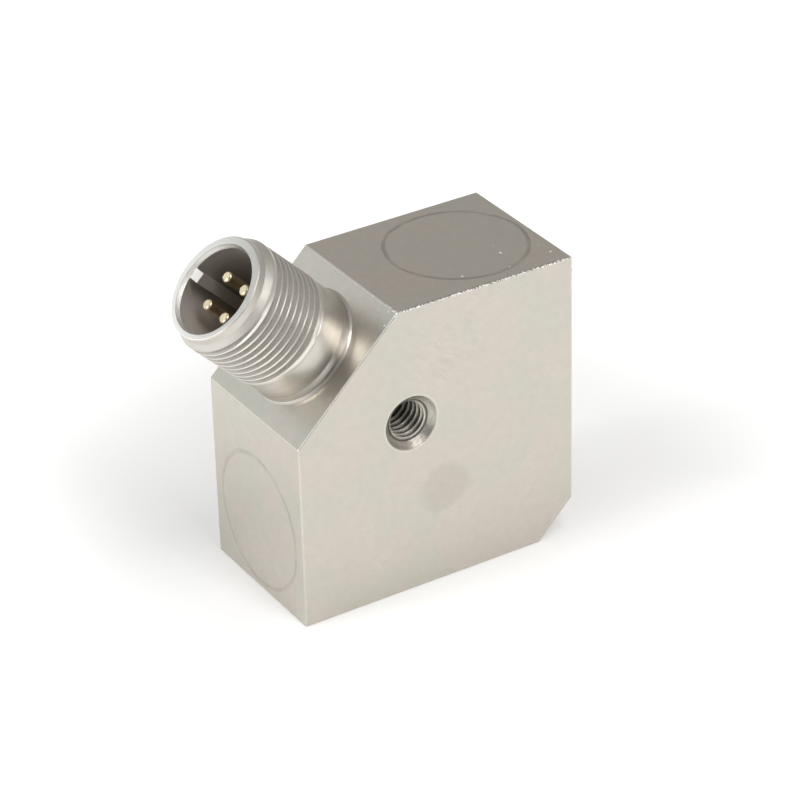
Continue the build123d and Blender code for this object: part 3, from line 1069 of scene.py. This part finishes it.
# Stage
def floor():
    """A wide sheet of white paper that keeps the shadows beside the block, deepened by painted shade where
    its glow is weaker near the block, and is white in front and far.
    """
    bm = bmesh.new()
    bmesh.ops.create_grid(bm, x_segments=1, y_segments=1, size=FLOOR_REACH)
    ground = as_object(bm, "floor")
    ground.data.transform(Matrix.Scale(MM, 4))
    sheet = Sheet("floor_paper", 1.0)
    sheet.shader.inputs["Base Color"].default_value = (PAPER_TONE, PAPER_TONE, PAPER_TONE, 1)
    sheet.shader.inputs["Specular IOR Level"].default_value = 0.0
    sheet.shader.inputs["Emission Color"].default_value = (1, 1, 1, 1)
    place = sheet.millimetres()
    # The glow is weaker near the block, which paints shade on the floor round it
    far = sheet.fade(sheet.away(place, GLOW_MIDDLE), *FADE_AWAY)
    far = sheet.math("MAXIMUM", far, sheet.fade(sheet.parts(place)[1], *FADE_FORWARDS))
    rays = sheet.add("ShaderNodeLightPath", {}).outputs
    seen = sheet.math("MAXIMUM", rays["Is Camera Ray"], rays["Is Glossy Ray"])
    seen = sheet.math("MAXIMUM", seen, rays["Is Transmission Ray"])
    sheet.finish("Emission Strength", sheet.both(seen, sheet.between(far, GLOW_NEAR, GLOW_FAR)))
    ground.data.materials.append(sheet.material)


def world():
    """A plain pale studio with a bright wall behind on the left and its darker sides."""
    studio = bpy.data.worlds.new("studio")
    bpy.context.scene.world = studio
    studio.use_nodes = True
    sky = Tree(studio.node_tree)
    where = sky.add("ShaderNodeTexCoord", {}).outputs["Generated"]
    total = STUDIO_TONE
    for direction, sharpness, change in SIDES:
        facing = sky.math("MAXIMUM", sky.towards(where, Vector(direction).normalized()), 0)
        share = sky.math("POWER", facing, sharpness)
        total = sky.vector("ADD", {0: total, 1: sky.vector("SCALE", {0: change, "Scale": share})})
    total = sky.vector("MAXIMUM", {0: total, 1: LEAST_TONE})
    sky.links.new(total, sky.nodes["Background"].inputs["Color"])


def softbox(name, place, size, power, target=(0, 0, 20)):
    """A large lamp turned to the object, its length upright as seen from there."""
    lamp = bpy.data.lights.new(name, "AREA")
    lamp.shape = "RECTANGLE"
    lamp.size = size[0] * MM
    lamp.size_y = size[1] * MM
    lamp.energy = power
    thing = bpy.data.objects.new(name, lamp)
    bpy.context.scene.collection.objects.link(thing)
    thing.location = Vector(place) * MM
    thing.rotation_mode = "QUATERNION"
    thing.rotation_quaternion = (Vector(target) - Vector(place)).to_track_quat("-Z", "Y")
    return thing


def camera():
    """The photograph's viewing angle."""
    azimuth = math.radians(CAMERA_AZIMUTH)
    elevation = math.radians(CAMERA_ELEVATION)
    back = Vector(
        (
            math.sin(azimuth) * math.cos(elevation),
            -math.cos(azimuth) * math.cos(elevation),
            math.sin(elevation),
        )
    )
    right = Vector((math.cos(azimuth), math.sin(azimuth), 0))
    level = Matrix((right, back.cross(right), back)).transposed()
    lens = bpy.data.cameras.new("camera")
    lens.sensor_width = SENSOR_WIDTH
    lens.lens = CAMERA_LENS
    lens.clip_start = 0.01
    lens.clip_end = 20
    thing = bpy.data.objects.new("camera", lens)
    bpy.context.scene.collection.objects.link(thing)
    thing.matrix_world = (
        Matrix.Translation((Vector(CAMERA_AIM) + back * CAMERA_DISTANCE) * MM)
        @ level.to_4x4()
        @ Matrix.Rotation(math.radians(CAMERA_ROLL), 4, "Z")
    )
    bpy.context.scene.camera = thing


machined = block()
covers = [welded_cover(name) for name in COVER_FACES]
shell = receptacle()
pins = contacts()

wear(machined, block_finish())
for piece, (name, face) in zip(covers, COVER_FACES.items()):
    wear(piece, cover_finish(name, face, WELD_TINTS[name]))
wear(shell, shell_finish())
gold = plain("contact_gold", GILT, GILT_ROUGHNESS, metallic=1.0)
for piece in pins:
    wear(piece, gold)

finishes = {name: plain(name, *look) for name, look in PLAIN_FINISHES.items()}
finishes.update({name: steel(name, *look) for name, look in METAL_FINISHES.items()})
slots = {item["node"]: item["material_slot"] for item in frame["record"]["subparts"]}
for node, thing in frame["nodes"].items():
    if slots[node] in finishes:
        wear(thing, finishes[slots[node]])

floor()
world()
for name, (place, size, power) in SOFTBOXES.items():
    softbox(name, place, size, power)
camera()
bpy.context.scene.view_settings.view_transform = "Standard"
